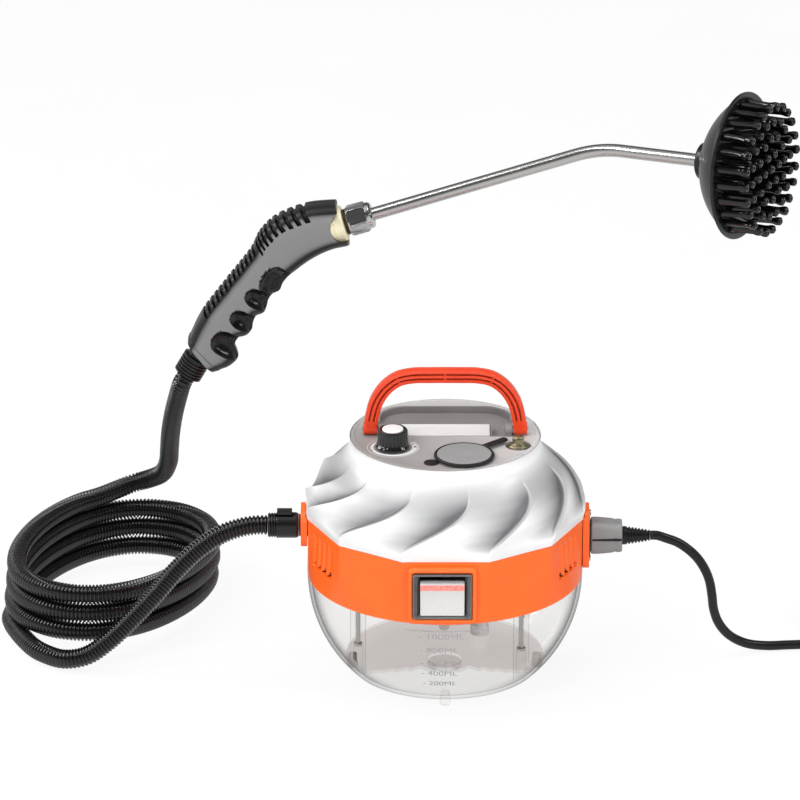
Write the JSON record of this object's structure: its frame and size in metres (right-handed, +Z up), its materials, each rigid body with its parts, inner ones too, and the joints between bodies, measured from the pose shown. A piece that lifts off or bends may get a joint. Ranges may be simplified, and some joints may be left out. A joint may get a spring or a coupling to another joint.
{
  "type": "steam cleaner",
  "caption": "Canister steam cleaner: round body with a clear water tank, carrying handle, coiled steam hose, pistol-grip gun with bent lance and round bristle brush.",
  "frame": {"origin": "on the floor under the middle of the round body, at the centre of the tank's underside", "axes": "+Z up, -Y out of the front with the switch, +X towards the mains inlet side"},
  "size_m": [0.7841, 0.357, 0.4896],
  "materials": {
    "clear_plastic": "clear, polished",
    "orange_plastic": "smooth, glossy",
    "handle_plastic": "smooth, glossy",
    "silver_plastic": "polished silver-white",
    "panel_plastic": "fine matt",
    "dark_plastic": "matt",
    "grey_plastic": "matt",
    "white_plastic": "glossy",
    "black_plastic": "satin",
    "gun_plastic": "fine textured matt",
    "hose_plastic": "glossy corrugated",
    "inner_tube": "smooth",
    "connector_plastic": "matt",
    "cord_rubber": "satin",
    "black_rubber": "matt",
    "bristle_nylon": "satin",
    "steel": "brushed",
    "polished_steel": "polished",
    "chrome": "polished",
    "brass": "satin",
    "cast_aluminium": "cast"
  },
  "bodies": {
    "base": {"boiler": "cast_aluminium", "cap_tether": "black_rubber", "chassis": "black_plastic", "cord_coil": "cord_rubber", "dome_cover": "silver_plastic", "filler_neck": "white_plastic", "handle_tray": "dark_plastic", "hose_coil": "hose_plastic", "hose_connector": "black_plastic", "hose_cuff": "black_plastic", "hose_plate": "orange_plastic", "hose_socket": "black_plastic", "hose_to_coil": "hose_plastic", "hose_to_gun": "hose_plastic", "inlet_plate": "orange_plastic", "label_plate": "white_plastic", "mains_plug": "cord_rubber", "middle_band": "orange_plastic", "outlet_pipe": "inner_tube", "plate_screw_1": "steel", "plate_screw_2": "steel", "power_connector": "connector_plastic", "power_cord": "cord_rubber", "power_inlet": "black_plastic", "pump": "black_plastic", "pump_outlet_tube": "inner_tube", "safety_valve": "brass", "steam_pipe": "inner_tube", "steam_valve": "brass", "strain_relief": "cord_rubber", "suction_filter": "white_plastic", "suction_tube": "inner_tube", "switch_housing": "black_plastic", "tank_gasket": "black_rubber", "tank_screw_1": "steel", "tank_screw_2": "steel", "tank_screw_3": "steel", "tank_screw_4": "steel", "thermal_fuse": "white_plastic", "thermostat": "steel", "top_panel": "panel_plastic", "water_tank": "clear_plastic"},
    "rocker": {"switch_rocker": "white_plastic"},
    "knob": {"steam_knob": "black_plastic", "knob_cap": "chrome", "valve_stem": "steel"},
    "cap": {"filler_cap": "grey_plastic", "cap_seal": "black_rubber"},
    "handle": {"carry_handle": "handle_plastic", "handle_pin_left": "steel", "handle_pin_right": "steel"},
    "latch": {"connector_latch": "black_plastic"},
    "gun": {"gun_shell_front": "gun_plastic", "gun_shell_back": "gun_plastic", "gun_steam_pipe": "inner_tube", "outlet_collar": "brass"},
    "nut": {"lance_nut": "chrome"},
    "lance": {"lance": "polished_steel"},
    "brush": {"brush_cup": "gun_plastic", "bristle_pad": "bristle_nylon"}
  },
  "joints": [
    {"name": "rocker_tip", "type": "hinge", "parent": "base", "child": "rocker", "pos_m": [-0.0028, -0.1026, 0.1142], "axis": [1, 0, 0], "range_deg": [-20, 0]},
    {"name": "steam_knob_turn", "type": "hinge", "parent": "base", "child": "knob", "pos_m": [-0.0436, -0.0285, 0.211], "axis": [0, 0, 1], "range_deg": [0, 270]},
    {"name": "filler_cap_open", "type": "hinge", "parent": "base", "child": "cap", "pos_m": [-0.00802, -0.06058, 0.2125], "axis": [0.3951, -0.9186, 0], "range_deg": [0, 90]},
    {"name": "handle_fold", "type": "hinge", "parent": "base", "child": "handle", "pos_m": [0, 0, 0.2168], "axis": [1, 0, 0], "range_deg": [-88, 0]},
    {"name": "latch_press", "type": "slide", "parent": "base", "child": "latch", "axis": [0, 0, -1], "range_m": [0, 0.002], "stiffness_N_per_m": 400, "springref_m": -0.002},
    {"name": "gun_swivel", "type": "hinge", "parent": "base", "child": "gun", "pos_m": [-0.2064, 0.11, 0.24], "axis": [0.5002, 0, 0.8659], "range_deg": [-90, 90]},
    {"name": "nut_turn", "type": "hinge", "parent": "gun", "child": "nut", "pos_m": [-0.0921, 0.11, 0.3556], "axis": [0.955, 0, 0.2965], "continuous": true},
    {"name": "lance_turn", "type": "hinge", "parent": "gun", "child": "lance", "pos_m": [-0.0921, 0.11, 0.3556], "axis": [0.955, 0, 0.2965], "continuous": true},
    {"name": "brush_turn", "type": "hinge", "parent": "lance", "child": "brush", "pos_m": [0.21133, 0.06901, 0.42816], "axis": [0.8954, -0.4432, 0.044], "continuous": true}
  ]
}
